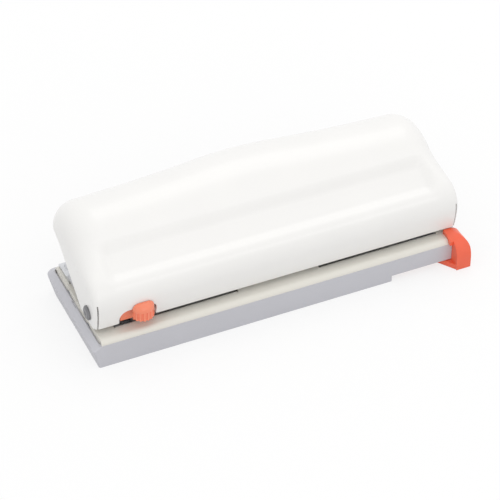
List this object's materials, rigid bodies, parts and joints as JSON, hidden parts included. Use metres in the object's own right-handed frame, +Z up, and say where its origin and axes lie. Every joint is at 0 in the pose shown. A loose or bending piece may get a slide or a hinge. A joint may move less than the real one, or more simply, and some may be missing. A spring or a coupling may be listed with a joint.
{
  "type": "adjustable hole punch",
  "caption": "Long desk hole punch for ring planner pages: white sheet lever over sliding geared punch heads, lavender chip tray and orange sliding paper guide.",
  "frame": {"origin": "centre of the overall box, on the surface the tray stands on", "axes": "+X along the front edge to the end with the paper guide, +Y from the front to the back edge of the lever, +Z up"},
  "size_m": [0.185, 0.0729, 0.0569],
  "materials": {
    "tray_plastic": "smooth lavender grey moulding",
    "handle_paint": "semi-gloss white paint",
    "base_paint": "semi-gloss warm white paint",
    "orange_plastic": "glossy orange moulding",
    "plated_steel": "zinc plated",
    "dark_steel": "dark plated",
    "cast_metal": "as cast, tumbled"
  },
  "bodies": {
    "base": {"chip_tray": "tray_plastic", "base_plate": "base_paint", "bracket_left": "plated_steel", "bracket_right": "plated_steel", "bracket_rivets": "plated_steel", "guide_rod_front": "plated_steel", "guide_rod_back": "plated_steel", "rod_clips": "dark_steel", "pivot_pin_left": "dark_steel", "pivot_pin_right": "dark_steel", "pivot_clips": "dark_steel", "pinion_stud": "dark_steel", "pinion_clip": "dark_steel"},
    "lever": {"handle_shell": "handle_paint", "press_frame": "plated_steel"},
    "left_head": {"punch_head_left": "cast_metal", "rack_left": "plated_steel", "rack_screws_left": "dark_steel", "selector_knob": "orange_plastic", "selector_screws": "dark_steel", "pin_spring_1": "dark_steel", "pin_spring_2": "dark_steel", "pin_spring_3": "dark_steel"},
    "right_head": {"punch_head_right": "cast_metal", "rack_right": "plated_steel", "rack_screws_right": "dark_steel", "pin_spring_4": "dark_steel", "pin_spring_5": "dark_steel", "pin_spring_6": "dark_steel"},
    "pinion": {"pinion": "plated_steel"},
    "guide": {"paper_guide": "orange_plastic"},
    "pin_1": {"punch_pin_1": "plated_steel"},
    "pin_2": {"punch_pin_2": "plated_steel"},
    "pin_3": {"punch_pin_3": "plated_steel"},
    "pin_4": {"punch_pin_4": "plated_steel"},
    "pin_5": {"punch_pin_5": "plated_steel"},
    "pin_6": {"punch_pin_6": "plated_steel"}
  },
  "joints": [
    {"name": "lever_pivot", "type": "hinge", "parent": "base", "child": "lever", "pos_m": [0, -0.018, 0.022], "axis": [-1, 0, 0], "range_deg": [0, 17.5]},
    {"name": "size_slide", "type": "slide", "parent": "base", "child": "left_head", "axis": [-1, 0, 0], "range_m": [0, 0.0095]},
    {"name": "right_head_slide", "type": "slide", "parent": "base", "child": "right_head", "axis": [1, 0, 0], "range_m": [0, 0.0095]},
    {"name": "pinion_turn", "type": "hinge", "parent": "base", "child": "pinion", "pos_m": [0, -0.0023, 0.0057], "axis": [0, 0, -1], "range_deg": [0, 91]},
    {"name": "guide_slide", "type": "slide", "parent": "base", "child": "guide", "axis": [1, 0, 0], "range_m": [0, 0.0195]},
    {"name": "pin_1_slide", "type": "slide", "parent": "left_head", "child": "pin_1", "axis": [0, 0, -1], "range_m": [0, 0.0055], "stiffness_N_per_m": 400, "springref_m": -0.004, "deforming": ["pin_spring_1"]},
    {"name": "pin_2_slide", "type": "slide", "parent": "left_head", "child": "pin_2", "axis": [0, 0, -1], "range_m": [0, 0.0055], "stiffness_N_per_m": 400, "springref_m": -0.004, "deforming": ["pin_spring_2"]},
    {"name": "pin_3_slide", "type": "slide", "parent": "left_head", "child": "pin_3", "axis": [0, 0, -1], "range_m": [0, 0.0055], "stiffness_N_per_m": 400, "springref_m": -0.004, "deforming": ["pin_spring_3"]},
    {"name": "pin_4_slide", "type": "slide", "parent": "right_head", "child": "pin_4", "axis": [0, 0, -1], "range_m": [0, 0.0055], "stiffness_N_per_m": 400, "springref_m": -0.004, "deforming": ["pin_spring_4"]},
    {"name": "pin_5_slide", "type": "slide", "parent": "right_head", "child": "pin_5", "axis": [0, 0, -1], "range_m": [0, 0.0055], "stiffness_N_per_m": 400, "springref_m": -0.004, "deforming": ["pin_spring_5"]},
    {"name": "pin_6_slide", "type": "slide", "parent": "right_head", "child": "pin_6", "axis": [0, 0, -1], "range_m": [0, 0.0055], "stiffness_N_per_m": 400, "springref_m": -0.004, "deforming": ["pin_spring_6"]}
  ],
  "couplings": [
    {"joint": "right_head_slide", "follows": "size_slide", "ratio": 1},
    {"joint": "pinion_turn", "follows": "size_slide", "rad_per_m": 166.67},
    {"joint": "pin_1_slide", "follows": "lever_pivot", "m_per_rad": 0.017882},
    {"joint": "pin_2_slide", "follows": "lever_pivot", "m_per_rad": 0.017882},
    {"joint": "pin_3_slide", "follows": "lever_pivot", "m_per_rad": 0.017882},
    {"joint": "pin_4_slide", "follows": "lever_pivot", "m_per_rad": 0.017882},
    {"joint": "pin_5_slide", "follows": "lever_pivot", "m_per_rad": 0.017882},
    {"joint": "pin_6_slide", "follows": "lever_pivot", "m_per_rad": 0.017882}
  ]
}
